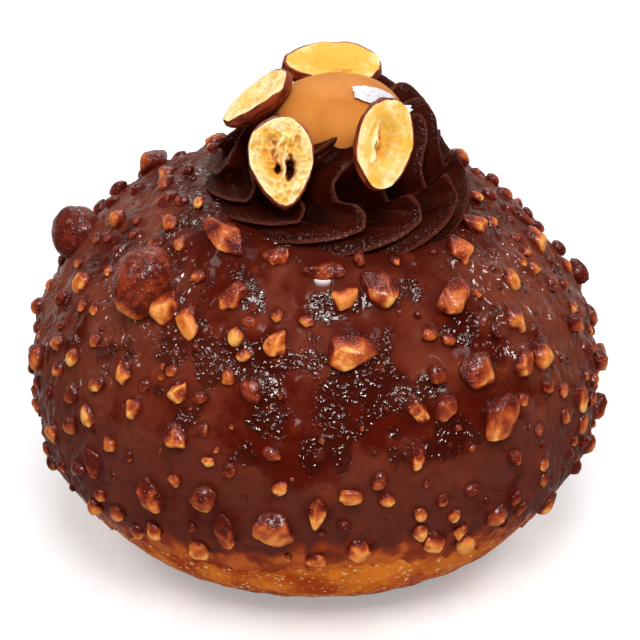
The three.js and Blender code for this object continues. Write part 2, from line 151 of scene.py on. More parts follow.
def seat(piece, materials, node):
    # shading, finish and place in the frame
    piece.data.shade_smooth()
    for material in materials:
        piece.data.materials.append(material)
    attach(piece, "root")
    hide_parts(node)
    print(f"{piece.name}: {len(piece.data.polygons)} faces, {time.time() - started:.0f} s")


# Materials: a few shortcuts for their nodes. Any socket of a tree, or the tree, says where a node goes


def startMaterial(name):
    # a new material, and the place on its piece
    material = bpy.data.materials.new(name)
    material.use_nodes = True
    return material, addNode(material.node_tree, "ShaderNodeTexCoord", {})["Object"]


def feed(made, inputs):
    for socket, value in inputs.items():
        if isinstance(value, bpy.types.NodeSocket):
            made.id_data.links.new(value, made.inputs[socket])
        else:
            made.inputs[socket].default_value = value


def finished(material, colour, roughness, normal, gloss=0.5, tint=(1, 1, 1), coat=(), light=(), metal=0.0):
    # coat: weight, roughness and refraction; light that goes in and comes out again: weight, radius, depth
    inputs = {"Base Color": colour, "Roughness": roughness, "Normal": normal, "Metallic": metal}
    inputs |= {"Specular IOR Level": gloss, "Specular Tint": (*tint, 1)}
    inputs |= zip(("Coat Weight", "Coat Roughness", "Coat IOR"), coat)
    if coat:
        inputs["Coat Normal"] = normal
    inputs |= zip(("Subsurface Weight", "Subsurface Radius", "Subsurface Scale"), light)
    feed(material.node_tree.nodes["Principled BSDF"], inputs)
    return material


def addNode(where, kind, inputs, **settings):
    made = where.id_data.nodes.new(kind)
    for key, value in settings.items():
        setattr(made, key, value)
    feed(made, inputs)
    return made.outputs


def readMarks(where, *names):
    return [addNode(where, "ShaderNodeAttribute", {}, attribute_name=name)["Fac"] for name in names]


def grainOf(place, size, detail=2.0, roughness=0.5, output="Fac"):
    # noise whose lumps have one size in millimetres
    inputs = {"Vector": place, "Scale": 1 / (size * mm), "Detail": detail, "Roughness": roughness}
    return addNode(place, "ShaderNodeTexNoise", inputs)[output]


def rangeOf(value, low, high, toLow=0.0, toHigh=1.0):
    inputs = {"Value": value, "From Min": low, "From Max": high, "To Min": toLow, "To Max": toHigh}
    return addNode(value, "ShaderNodeMapRange", inputs, interpolation_type="SMOOTHSTEP")["Result"]


def mathOf(operation, first, second=0.0):
    return addNode(first, "ShaderNodeMath", {0: first, 1: second}, operation=operation)[0]


def times(first, second):
    return mathOf("MULTIPLY", first, second)


def larger(first, second):
    return mathOf("MAXIMUM", first, second)


def shifted(value, grain, least, most):
    # a value that noise moves down or up
    return mathOf("ADD", value, rangeOf(grain, 0.3, 0.7, least, most))


def vectorOf(operation, first, inputs):
    return addNode(first, "ShaderNodeVectorMath", {0: first, **inputs}, operation=operation)[0]


def stretchOf(place, scale):
    return addNode(place, "ShaderNodeMapping", {"Vector": place, "Scale": scale})[0]


def dropsOf(place, size, inner, outer, low, high, least=0.0):
    # round drops in cells of one size in millimetres, stronger in some cells than in others
    cells = addNode(place, "ShaderNodeTexVoronoi", {"Vector": place, "Scale": 1 / (size * mm)})
    return times(rangeOf(cells["Distance"], inner, outer, 1, 0), rangeOf(cells["Color"], low, high, least))


def mixOf(factor, first, second):
    return addNode(factor, "ShaderNodeMix", {0: factor, 2: first, 3: second})[0]


def mixTones(factor, first, second):
    return addNode(factor, "ShaderNodeMix", {0: factor, 6: first, 7: second}, data_type="RGBA")[2]


def tinted(colour, *layers):
    # each layer has a screen colour, and the value that it follows with that value's range
    for shade, *spread in layers:
        colour = mixTones(rangeOf(*spread), colour, tone(*shade))
    return colour


def bumpOf(height, distance, strength=1.0, below=None):
    inputs = {"Height": height, "Distance": distance * mm, "Strength": strength}
    if below is not None:
        inputs["Normal"] = below
    return addNode(height, "ShaderNodeBump", inputs)["Normal"]


# The bun's outline, as the frame has it: rise is -1 at the flat spot's rim, 0 at the girth and 1 at the top

bunForm = {
    "width": 86.2,
    "height": 63.1,
    "girthHeight": 26.5,
    "restWidth": 42.0,
    "upperSquareness": 1.8,
    "lowerSquareness": 2.15,
    "oval": 0.01,
    "lobes": 0.008,
    "shoulder": 0.05,
}


def bunOutline(rise):
    angle = np.minimum(np.abs(rise), 1) * np.pi / 2
    across = np.maximum(np.cos(angle), 0)
    along = np.sin(angle)
    half, rest = bunForm["width"] / 2, bunForm["restWidth"] / 2
    girth, top = bunForm["girthHeight"], bunForm["height"]
    upper, lower = 2 / bunForm["upperSquareness"], 2 / bunForm["lowerSquareness"]
    radius = np.where(rise >= 0, half * across**upper, rest + (half - rest) * across**lower)
    height = np.where(rise >= 0, girth + (top - girth) * along**upper, girth * (1 - along**lower))
    return radius, height


def bunNormal(rise):
    step = 0.004
    radiusBefore, heightBefore = bunOutline(np.maximum(rise - step, -1))
    radiusAfter, heightAfter = bunOutline(np.minimum(rise + step, 1))
    outward, upward = heightAfter - heightBefore, radiusBefore - radiusAfter
    length = np.hypot(outward, upward)
    return outward / length, upward / length


def swelling(turn, rise):
    shoulder = np.maximum(0, np.cos(turn + 1.9)) ** 2 * np.sin(np.pi * np.maximum(0, rise))
    uneven = bunForm["oval"] * np.cos(2 * turn + 0.9) + bunForm["lobes"] * np.cos(3 * turn - 1.4 + 2 * rise)
    return 1 + uneven + bunForm["shoulder"] * shoulder


def bunPoint(turn, rise, offset):
    radius, height = bunOutline(rise)
    outward, upward = bunNormal(rise)
    return ringPoints(turn, (radius + offset * outward) * swelling(turn, rise), height + offset * upward)


def riseAtHeight(height):
    girth = bunForm["girthHeight"]
    above = height >= girth
    reach = np.where(above, bunForm["height"] - girth, girth)
    squareness = np.where(above, bunForm["upperSquareness"], bunForm["lowerSquareness"])
    level = np.minimum(np.abs(height - girth) / reach, 1)
    rise = np.arcsin(level ** (squareness / 2)) / (np.pi / 2)
    return np.where(above, rise, -rise)


def riseOnCoat(height):
    girth = bunForm["girthHeight"]
    reach = np.where(height >= girth, bunForm["height"] - girth, girth)
    return riseAtHeight(girth + (height - girth) * reach / (reach + coatForm["offset"]))


# Chopped nuts of the frame: turn, height on the coat, length, width, lean, glaze cover, and for some how
# proud they stand as a share of their width

usualProud = 0.12
largeNuts = [
    (-96, 47.3, 8.2, 8.6, 0, 1.05, 0.17), (-49.5, 51.0, 11.2, 9.6, 15, 0.92, 0.26),
    (-119, 54.8, 6.4, 5.6, 80, 0.7, 0.24), (-112, 51, 4, 3.6, 30, 0.6, 0.28),
    (-108.5, 48.4, 3.2, 2.8, 0, 0.6, 0.25), (-75.5, 58, 4.2, 3.4, 0, 0.7), (-41, 49.6, 5.8, 5, 20, 0.2),
    (-33, 49.2, 6.4, 3.6, -40, 0.2), (-29.5, 40.8, 4.4, 3.2, 40, 0.3), (-28, 35.2, 5, 4.2, -60, 0.45),
    (-9.5, 48.6, 4.8, 3.6, 30, 0.15), (-23, 53, 5.6, 4.2, 0, 0.45), (-36, 58.1, 10.2, 4.8, -68, 0.4),
    (-14, 57.2, 4.2, 3.4, 60, 0.6), (1.5, 56, 6.8, 3.6, 90, 0.8), (-44, 40.7, 3.8, 3.2, 0, 0.05),
    (-39, 37.2, 3.8, 3.4, 0, 0.3), (-63, 26.4, 4.4, 3.4, 0, 0.3), (-47.5, 26.6, 5.6, 3.4, -10, 0.7),
    (-32.7, 25.4, 6.6, 4, -30, 0.55), (-17.5, 22.4, 6, 3.6, -10, 0.7), (-8.2, 23.6, 6.4, 6, 0, 0.25),
    (0, 27, 5.2, 3, 10, 0.25), (7.6, 53.4, 5.2, 4, 25, 0.35), (17.5, 53.6, 7.4, 6, -50, 0.6),
    (7.5, 47.6, 8.2, 5.8, 85, 0.4), (37.5, 51.2, 7, 5, 50, 0.4), (50, 55.2, 5.4, 4.4, 10, 0.35),
    (66, 56, 5, 3.2, -20, 0.4), (52, 46.2, 5.4, 4.4, -10, 0.5), (48.5, 41, 4.8, 4.2, 60, 0.5),
    (35.5, 42.2, 7.2, 6, 80, 0.45), (26.5, 39.6, 5, 4.2, 80, 0.55), (37.5, 35.6, 7.8, 6.8, 50, 0.5),
    (20, 39.8, 5, 2.8, -20, 0.5), (86, 49.6, 4.8, 4.2, 0, 0.2), (91, 43.6, 4.4, 3.6, 20, 0.3),
    (90, 29, 3.8, 3, 90, 0.3, 0.4), (64.5, 31, 5.2, 3.6, -10, 0.25), (19, 34, 5, 2.8, 0, 0.6),
    (7.8, 19.6, 4.8, 4.2, 0, 0.65), (22.7, 18.8, 4.8, 4.2, 0, 0.65), (55, 15.6, 4.6, 3.2, 60, 0.8),
]
# Rules for the others. Pairs are the least and the most of a measure
smallNuts = {
    "count": 130,
    "height": (17.0, 60.0),
    "length": (2.2, 4.2),
    "slimness": (0.78, 0.78),
    "cover": (0.1, 0.9),
    "proud": (0.12, 0.26),
    "jitter": 0.0,  # of the turn
    "bareReach": 15.0,  # round the bare patch
    "spacing": 0.5,  # from other nuts, as a share of both lengths
    "apart": False,  # whether they keep off each other too
    "edgeGap": 0.0,  # above the coat's edge
    "seed": 5,
}
looseNuts = {"slimness": (0.7, 0.95), "proud": (0.06, 0.36), "jitter": 0.5, "apart": True, "edgeGap": 2.5}
nutBits = {
    **looseNuts,
    "count": 540,
    "height": (15.0, 61.5),
    "length": (2.5, 4.9),
    "cover": (0.15, 0.95),
    "bareReach": 9.0,
    "spacing": 0.46,
    "seed": 11,
}
nutCrumbs = {
    **looseNuts,
    "count": 300,
    "height": (14.0, 62.0),
    "length": (0.9, 2.0),
    "cover": (0.45, 1.1),
    "bareReach": 0.0,
    "spacing": 0.4,
    "seed": 23,
}
sunkenBits = {"count": 280, "height": (14.0, 61.5), "length": (2.0, 4.8), "seed": 41}  # under the glaze
bareTurn, bareHeight = 3.0, 41.0  # of the patch that has few nuts
swirlReach = 21.2  # in plan, kept free of nuts
swirlCentre = np.array([2.9, -2.5])
goldenAngle = math.pi * (3 - math.sqrt(5))

coatForm = {
    "offset": 1.9,  # the coat's surface above the bun
    "edgeHeight": 11.2,
    "edgeLift": 3.0,
    "edgeWave": 1.8,
    "edgeFingers": 1.5,  # finer unevenness of the lower edge
    "thinning": 1.3,  # how much thinner the glaze gets at its edge
    "thinReach": 0.24,  # over this much of the rise
    "lip": 0.4,
    "lumps": 0.45,
    "ripples": 0.16,
    "streaks": 0.3,
    "wrinkles": 0.16,
    "climb": 0.3,  # round a nut, as a share of its width
    "climbMost": 1.1,
    "columns": 480,
    "rows": 206,
}


def spotAt(turn, height, offset=0.0):
    return bunPoint(turn, riseOnCoat(height), offset)


def onCoat(turn, height):
    return spotAt(turn, height, coatForm["offset"])


def clearOfSwirl(turn, height):
    return np.hypot(*(spotAt(turn, height, 1.6)[:2] - swirlCentre)) > swirlReach


def spreadNut(item, rule):
    seed = rule["seed"]
    height = between(rule["height"], (item + fraction(item, 1, seed)) / rule["count"])
    turn = item * goldenAngle + 0.3 * (fraction(item, 2, seed) - 0.5)
    length = between(rule["length"], fraction(item, 3, seed) ** 2)
    return turn, height, length, 180 * fraction(item, 4, seed)


def coatEdgeHeight(turn):
    wave = 0.6 * np.sin(3 * turn + 1.1) + 0.4 * np.sin(7 * turn + 0.4)
    return coatForm["edgeHeight"] + coatForm["edgeLift"] * np.cos(turn) + coatForm["edgeWave"] * wave


barePatch = spotAt(math.radians(bareTurn), bareHeight)


def scatter(rule, taken):
    # places that are clear of the ones taken, the bare patch, the swirl and the coat's edge
    places = []
    seed = rule["seed"]
    spots = [spotAt(*place[:2]) for place in taken]
    sizes = [place[2] for place in taken]
    for item in range(rule["count"]):
        turn, height, length, lean = spreadNut(item, rule)
        turn += rule["jitter"] * (fraction(item, 8, seed) - 0.5)
        spot = spotAt(turn, height)
        gaps = np.linalg.norm(np.array(spots) - spot, axis=1)
        crowded = gaps <= rule["spacing"] * (length + np.array(sizes))
        if crowded.any() or np.linalg.norm(spot - barePatch) < rule["bareReach"]:
            continue
        if not clearOfSwirl(turn, height) or height < coatEdgeHeight(turn) + rule["edgeGap"]:
            continue
        if rule["apart"]:
            spots.append(spot)
            sizes.append(length)
        cover = between(rule["cover"], fraction(item, 6, seed) ** 1.2)
        proud = between(rule["proud"], fraction(item, 7, seed))
        width = length * between(rule["slimness"], fraction(item, 9, seed))
        places.append((turn, height, length, width, lean, cover, proud))
    return places


framedLarge = [(math.radians(turn), *(sizes + [usualProud])[:6]) for turn, *sizes in largeNuts]
framedLarge = [place for place in framedLarge if clearOfSwirl(*place[:2])]
framedSmall = scatter(smallNuts, framedLarge)
framedNuts = framedLarge + framedSmall
scatteredBits = scatter(nutBits, framedNuts)
scatteredCrumbs = scatter(nutCrumbs, framedNuts + scatteredBits)
hiddenLumps = [spreadNut(item, sunkenBits) for item in range(sunkenBits["count"])]
print(f"nuts: {len(framedNuts)} of the frame, {len(scatteredBits)} bits, {len(scatteredCrumbs)} crumbs")


# Camera: 28 degrees above the horizon, with the bun's middle a little below the picture's

cameraSet = {
    "elevation": 28.0,
    "distance": 405.0,
    "aimHeight": 27.0,
    "lens": 140.74,
    "sensor": 36.0,
    "tiltUp": 1.0075,  # degrees, so that the swirl has room
    "turnRight": 0.0458,
    "clip": (0.01, 20),
}


def setCamera():
    lift = math.radians(cameraSet["elevation"])
    away = cameraSet["distance"] * mm
    spot = (0, -away * math.cos(lift), cameraSet["aimHeight"] * mm + away * math.sin(lift))
    pitch = math.radians(90 - cameraSet["elevation"] + cameraSet["tiltUp"])
    bpy.ops.object.camera_add(location=spot, rotation=(pitch, 0, -math.radians(cameraSet["turnRight"])))
    camera = bpy.context.object
    camera.name = "photoCamera"
    camera.data.sensor_width = cameraSet["sensor"]
    camera.data.lens = cameraSet["lens"]
    camera.data.clip_start, camera.data.clip_end = cameraSet["clip"]
    bpy.context.scene.camera = camera


setCamera()


# Studio: white floor, soft boxes and a pale surround

studio = {
    "floorSize": 6.0,
    "floorTone": 0.85,  # what the floor throws back on the bun
    "floorShade": 0.64,  # what the camera sees of the light that falls on the floor
    "floorGlow": 0.465,  # and on top of it
    "contactReach": 0.007,  # of the dark shadow at the foot
    "contactShade": 0.7,
    "fill": 0.28,  # light from all round
    "underGlint": 0.08,  # from the pale table
    "glints": (0.01, 0.6),  # what gloss reflects, in front and behind
    "glintTint": (1, 0.88, 0.82, 1),
    "background": 1.0,  # brightness behind the floor
    # name, towards, distance, width, depth, power
    "softBoxes": [
        ("keyBox", (0.04, -0.55, 0.84), 0.75, 0.28, 0.28, 3.9),
        ("topBox", (0.0, 0.1, 1.0), 0.8, 0.3, 0.3, 1.0),
        ("rightBox", (0.66, -0.05, 0.75), 0.75, 0.14, 0.24, 1.1),
        ("leftBox", (-0.72, -0.1, 0.68), 0.75, 0.12, 0.24, 0.8),
        ("backBox", (0.0, 0.75, 0.66), 0.8, 0.3, 0.1, 0.7),
    ],
}


def floorMaterial():
    material, place = startMaterial("whiteFloor")
    seen = addNode(place, "ShaderNodeLightPath", {})["Is Camera Ray"]
    unseenTone, seenTone = ((studio[key],) * 3 + (1,) for key in ("floorTone", "floorShade"))
    # painted contact shadow: the floor's glow dims where the bun nearly meets the floor
    openness = addNode(place, "ShaderNodeAmbientOcclusion", {"Distance": studio["contactReach"]})["AO"]
    glow = rangeOf(openness, 0.1, 0.6, studio["contactShade"] * studio["floorGlow"], studio["floorGlow"])
    inputs = {"Base Color": mixTones(seen, unseenTone, seenTone), "Emission Color": (1, 1, 1, 1)}
    inputs |= {"Emission Strength": times(seen, glow), "Roughness": 0.8, "Specular IOR Level": 0.0}
    feed(material.node_tree.nodes["Principled BSDF"], inputs)
    return material


def setStudio():
    bpy.ops.mesh.primitive_plane_add(size=studio["floorSize"])
    floor = bpy.context.object
    floor.name = "studioFloor"
    floor.data.materials.append(floorMaterial())
    floor.visible_glossy = False
    for name, towards, distance, width, depth, power in studio["softBoxes"]:
        bpy.ops.object.light_add(type="AREA")
        box = bpy.context.object
        box.name = name
        box.data.shape = "RECTANGLE"
        box.data.size = width
        box.data.size_y = depth
        box.data.energy = power
        direction = Vector(towards).normalized()
        box.location = direction * distance + Vector((0, 0, bunForm["girthHeight"] * mm))
        box.rotation_euler = direction.to_track_quat("Z", "Y").to_euler()
    world = bpy.data.worlds.new("studioSurround")
    bpy.context.scene.world = world
    world.use_nodes = True
    tree = world.node_tree
    tree.nodes.clear()
    ray = addNode(tree, "ShaderNodeLightPath", {})
    towards = addNode(tree, "ShaderNodeTexCoord", {})["Generated"]
    parts = addNode(tree, "ShaderNodeSeparateXYZ", {0: towards})
    glint = rangeOf(parts["Y"], 0.35, 0.95, *studio["glints"])
    glint = larger(glint, rangeOf(parts["Z"], -0.1, -0.7, 0, studio["underGlint"]))
    strength = mixOf(ray["Is Glossy Ray"], studio["fill"], glint)
    strength = mixOf(ray["Is Camera Ray"], strength, studio["background"])
    warmth = mixTones(ray["Is Glossy Ray"], (1, 1, 1, 1), studio["glintTint"])
    surround = addNode(tree, "ShaderNodeBackground", {"Color": warmth, "Strength": strength})
    addNode(tree, "ShaderNodeOutputWorld", {"Surface": surround[0]})
    bpy.context.scene.view_settings.view_transform = "Standard"


setStudio()
print("studio set")


# Dough: the fried bun, bare only below the coat

doughForm = {
    "columns": 320,
    "rows": 150,
    "blisters": 0.22,
    "crinkles": 0.06,
    "sunk": 0.15,
    "footShare": 0.94,  # beyond it the rings close over the flat spot
}


def doughMaterial():
    material, place = startMaterial("friedDough")
    fine = grainOf(place, 1.1, 3)
    dot = larger(dropsOf(place, 1.6, 0.16, 0.32, 0.54, 0.6), dropsOf(place, 0.8, 0.2, 0.35, 0.6, 0.66))
    colour = tinted(
        tone(172, 62, 5),
        ((226, 123, 30), grainOf(place, 7, 4), 0.35, 0.68),
        ((238, 168, 98), fine, 0.62, 0.74, 0, 0.75),
        ((244, 198, 140), dot, 0, 1, 0, 0.8),
        ((120, 44, 10), grainOf(place, 2.6, 5, 0.6), 0.3, 0.42, 0.5, 0),
    )
    rough = rangeOf(fine, 0.3, 0.7, 0.55, 0.34)
    bumpy = bumpOf(dot, 0.2, 0.6, bumpOf(fine, 0.4, 0.8))
    light = (0.15, (1.0, 0.45, 0.2), 1.2 * mm)
    return finished(material, colour, rough, bumpy, 0.1, (1, 0.6, 0.35), light=light)


def makeDough():
    piece, turn, share = roundSkin("friedBun", doughForm)
    footShare = doughForm["footShare"]
    rise = 1 - 2 * np.minimum(share / footShare, 1)
    points = bunPoint(turn, rise, 0.0)
    inward = 1 - np.maximum(0, share - footShare) / (1 - footShare)
    points[:, :2] *= inward[:, None]
    lift = np.where(share < footShare, 1, 0) * easeStep(-1, -0.9, rise)
    bump = noises(points, (doughForm["blisters"], 3.4, 0), (doughForm["crinkles"], 1.3, 5))
    points += (lift * (bump - doughForm["sunk"]))[:, None] * ringPoints(turn, *bunNormal(rise))
    points[:, 2] = np.maximum(points[:, 2], 0)
    writeCorners(piece.data, points * mm)
    seat(piece, [doughMaterial()], "dough")


makeDough()


# Chocolate glaze: one closed shell over the bun, thin at its lower edge, drawn up round the nuts


def glazeMaterial():
    material, place = startMaterial("milkGlaze")
    wet, sparkle, thin, near = readMarks(place, "wet", "sparkle", "thin", "near")
    flank, low, foot, over = readMarks(place, "flank", "low", "foot", "over")
    broad = grainOf(place, 9, 3)
    satin = tinted(tone(96, 31, 16), ((108, 42, 26), broad, 0.35, 0.65))
    # lighter, greyer tones for the flanks: painted sheen
    sheenedSatin = tinted(tone(108, 47, 31), ((122, 57, 40), broad, 0.35, 0.65))
    drained = shifted(thin, grainOf(place, 3, 4), -0.35, 0.25)
    colour = tinted(
        mixTones(flank, satin, sheenedSatin),
        # greyer band above the edge: painted reflection of the pale floor
        ((94, 40, 30), low, 0, 1, 0, 0.8),
        ((78, 11, 1), shifted(wet, grainOf(place, 1.3, 4, 0.6), -0.2, 0.2), 0.0, 1.0),
        # darker round each nut: the thicker glaze of the meniscus, and painted contact shade
        ((62, 9, 2), near, 0.3, 0.95, 0, 0.85),
        ((54, 8, 1), sparkle, 0.1, 0.6, 0, 0.7),
        # darker round the swirl's foot: painted shade
        ((66, 13, 5), foot, 0, 1, 0, 0.85),
        ((128, 46, 18), over, 0.3, 0.95, 0, 0.45),
        ((140, 50, 18), drained, 0.3, 0.75),
        ((190, 90, 32), drained, 0.7, 1.1),
    )
    # the wet film is the shader's coat, beaded here and there
    film = larger(rangeOf(wet, 0.3, 1.0, 0, 0.05), rangeOf(near, 0.65, 0.95, 0, 0.5))
    film = larger(film, times(flank, rangeOf(grainOf(place, 5), 0.4, 0.6, 0.15, 0.6)))
    creases = rangeOf(grainOf(stretchOf(place, (1, 1, 0.45)), 2.2, 1), 0.3, 0.7, -1, 1)
    creases = times(mathOf("ABSOLUTE", creases), flank)
    smooth = bumpOf(creases, 0.26, 0.7, bumpOf(grainOf(place, 2.4, 1), 0.2, 0.6))
    warp = vectorOf("SCALE", grainOf(place, 1.1, output="Color"), {"Scale": 1.1 * mm})
    bead = dropsOf(vectorOf("ADD", place, {1: warp}), 0.7, 0.0, 0.75, 0.3, 0.8, 0.15)
    film = larger(film, times(rangeOf(bead, 0.1, 0.4, 0.2, 1), rangeOf(sparkle, 0.2, 0.6)))
    bumpy = bumpOf(times(bead, rangeOf(sparkle, 0.0, 0.4)), 0.26, 1.0, smooth)
    return finished(material, colour, 0.42, bumpy, 0.13, (1, 0.55, 0.4), coat=(film, 0.06, 2.3))


def coatEdgeRise(turn):
    ring = pointsOf(8 * np.sin(turn), 8 * np.cos(turn), np.zeros_like(turn))
    fingers = noises(ring, (1, 0.62, 3), (0.6, 0.24, 7))
    return riseAtHeight(coatEdgeHeight(turn) + coatForm["edgeFingers"] * fingers)


def glazeRelief(points, turn):
    broad = noises(points, (coatForm["lumps"], 13, 2), (coatForm["ripples"], 5, 9))
    # short streaks and fine wrinkles on the flanks, where the glaze ran
    warp = pointsOf(*(noise(points, size, shift) for size, shift in ((4, 61), (4, 67), (5, 71))))
    run = points * np.array([1, 1, 0.55]) + 1.4 * warp
    flank = easeStep(0.25, 0.8, np.abs(np.sin(turn)) + 0.3 * noise(points, 14, 21))
    flank = np.maximum(flank, easeStep(0.2, -0.4, np.cos(turn)))
    streaks, wrinkles = (1 - 2.2 * np.abs(noise(run, *grain)) for grain in ((3.0, 4), (1.4, 14)))
    return broad + flank * (coatForm["streaks"] * streaks + coatForm["wrinkles"] * wrinkles)


def climbRound(width):
    return min(coatForm["climb"] * width, coatForm["climbMost"])


def climbing(points):
    # the glaze climbs a little round each nut, and swells over each sunken one
    climb, near, over = np.zeros((3, len(points)))
    order = np.argsort(points[:, 2])
    levels = points[order, 2]

    def around(spot, reach):
        first, last = np.searchsorted(levels, (spot[2] - reach, spot[2] + reach))
        close = order[first:last]
        return close, np.linalg.norm(points[close] - spot, axis=1)

    for turn, height, length, width, *_ in framedNuts + scatteredBits + scatteredCrumbs:
        close, gap = around(onCoat(turn, height), 1.4 * length)
        pull = bell(gap, 0, 0.6 * length)
        climb[close] = np.maximum(climb[close], climbRound(width) * pull)
        near[close] = np.maximum(near[close], pull)
    for item, (turn, height, length, _) in enumerate(hiddenLumps):
        close, gap = around(onCoat(turn, height), length)
        swell = np.exp(-((gap / (0.45 * length)) ** 3))
        climb[close] = np.maximum(climb[close], (0.12 + 0.08 * fraction(item, 12)) * length * swell)
        over[close] = np.maximum(over[close], (0.4 + 0.6 * fraction(item, 13)) * swell)
    return climb, near, over


def makeCoat():
    piece, turn, share = roundSkin("chocolateGlaze", coatForm)
    outerShare, lipShare = 0.9, 0.94  # the outer skin ends, and the inner one starts
    inner = 0.1  # the inner skin above the bun
    edge = coatEdgeRise(turn)
    outer = share <= outerShare
    lip = (share > outerShare) & (share < lipShare)
    down, back = ramp(0, outerShare, share), ramp(lipShare, 1, share)
    rise = np.where(share < lipShare, 1 + (edge - 1) * down, edge + (1 - edge) * back)
    thin = easeStep(coatForm["thinReach"], 0, rise - edge)
    full = coatForm["offset"] - coatForm["thinning"] * thin
    base = bunPoint(turn, rise, coatForm["offset"])
    climb, near, over = climbing(base)
    # flatter at the edge and towards the swirl's foot, where the glaze sinks a little
    footGap = np.hypot(*(base[:, :2] - swirlCentre).T)
    relief = (glazeRelief(base, turn) * (1 - 0.6 * near) + climb) * (1 - 0.7 * thin)
    relief = relief * easeStep(20.5, 25, footGap) - 0.2 * easeStep(23, 20, footGap)
    around = ramp(outerShare, lipShare, share) * np.pi
    lipOffset = inner + (full - inner) * (0.5 + 0.5 * np.cos(around))
    points = bunPoint(turn, rise, np.where(outer, full + relief, np.where(lip, lipOffset, inner)))
    points[:, 2] -= np.where(lip, coatForm["lip"] * np.sin(around), 0)
    writeCorners(piece.data, points * mm)
    bare = np.linalg.norm(base - barePatch, axis=1)
    # the band also has fewer wet patches and glints; its greyer tone is a painted reflection of the pale
    # floor
    low = easeStep(38, 28, base[:, 2] + 4 * noise(base, 10, 91))  # the satin band above the edge
    wet = noises(base, (1, 11, 31), (0.4, 4, 37)) + 0.55 * bell(bare, 0, 22) - 0.6 * low
    dots = noises(base, (1, 6, 53), (0.5, 2.5, 59)) + 0.5 * bell(bare, 0, 26) - 0.8 * low
    flank = easeStep(0.45, 0.85, np.abs(np.sin(turn)) + 0.25 * noise(base, 9, 77))
    flank = np.maximum(flank, 0.6 * easeStep(0.1, -0.4, np.cos(turn)))
    addMarks(
        piece.data,
        low=low,
        wet=easeStep(-0.25, 0.75, wet),
        sparkle=easeStep(0.2, 0.9, dots),
        thin=thin,
        near=near,
        over=over,
        foot=easeStep(28, 21.5, footGap + 2 * noise(base, 4, 83)),
        flank=flank * (1 - 0.4 * easeStep(0, -0.5, np.cos(turn))),
    )
    seat(piece, [glazeMaterial()], "chocolate_coat")


makeCoat()


# Chopped roasted nuts: rounded chunks with flat sides, partly glazed

nutForm = {"tallness": 0.8, "roughness": 0.036}
lumpForm = {"tallness": 0.94, "sides": 14, "sharpness": 4.5}  # a whole nut under the glaze


def nutMaterial():
    material, place = startMaterial("glazedNut")
    cover, tint = readMarks(place, "cover", "tint")
    mottle = grainOf(place, 1.2, 3)
    film = shifted(cover, mottle, -0.12, 0.12)
    colour = tinted(
        tone(240, 172, 88),
        ((224, 136, 58), shifted(tint, mottle, -0.3, 0.3), 0.1, 0.9),
        ((200, 100, 38), film, 0.1, 0.42),
        ((148, 52, 20), film, 0.34, 0.72),
        ((92, 20, 6), film, 0.68, 1.0),
    )
    drop = times(dropsOf(place, 0.55, 0.08, 0.6, 0.35, 0.8), rangeOf(film, 0.3, 0.65))
    bumpy = bumpOf(drop, 0.2, 1.0, bumpOf(grainOf(place, 0.4), 0.12, 0.6))
    coat = (rangeOf(film, 0.1, 0.6, 0.25, 0.7), 0.1, 1.5)
    light = (0.2, (1.0, 0.5, 0.2), 0.8 * mm)
    return finished(material, colour, 0.42, bumpy, 0.2, coat=coat, light=light)


def ballOf(subdivisions):
    # corners and faces of an ico sphere, the start of every chunk
    bpy.ops.mesh.primitive_ico_sphere_add(subdivisions=subdivisions, radius=1)
    ball = bpy.context.object
    corners = readCorners(ball.data)
    faces = np.array([polygon.vertices[:] for polygon in ball.data.polygons])
    bpy.data.objects.remove(ball)
    return unit(corners), faces


def chunkOf(rays, item, sides, sharpness):
    # each ray ends on the nearest of a few flat sides, well rounded where two of them meet
    index = np.arange(sides) + 0.5
    level = 1 - 2 * index / sides
    turn = index * goldenAngle + 6.3 * fraction(item, 20)
    ring = np.sqrt(1 - level**2)
    facing = pointsOf(ring * np.cos(turn), ring * np.sin(turn), level)
    jitter = [[fraction(item, 30 + 3 * side + axis) - 0.5 for axis in range(3)] for side in range(sides)]
    facing = unit(facing + 0.6 * np.array(jitter))
    reach = np.array([0.8 + 0.3 * fraction(item, 70 + side) for side in range(sides)])
    pull = rays @ facing.T / reach
    radius = sharpness / np.log(np.exp(sharpness * pull).sum(axis=1))
    ordered = np.sort(pull, axis=1)
    edge = np.exp(-(ordered[:, -1] - ordered[:, -2]) / 0.16)
    shape = rays * radius[:, None]
    return shape / np.abs(shape).max(axis=0), edge


def nutFrame(turn, height, lean):
    out = ringPoints(turn, *bunNormal(riseOnCoat(height)))
    right = np.array([math.cos(turn), math.sin(turn), 0])
    up = np.cross(out, right)
    lean = math.radians(lean)
    side = math.cos(lean) * right - math.sin(lean) * up
    along = math.sin(lean) * right + math.cos(lean) * up
    return side, along, out, up


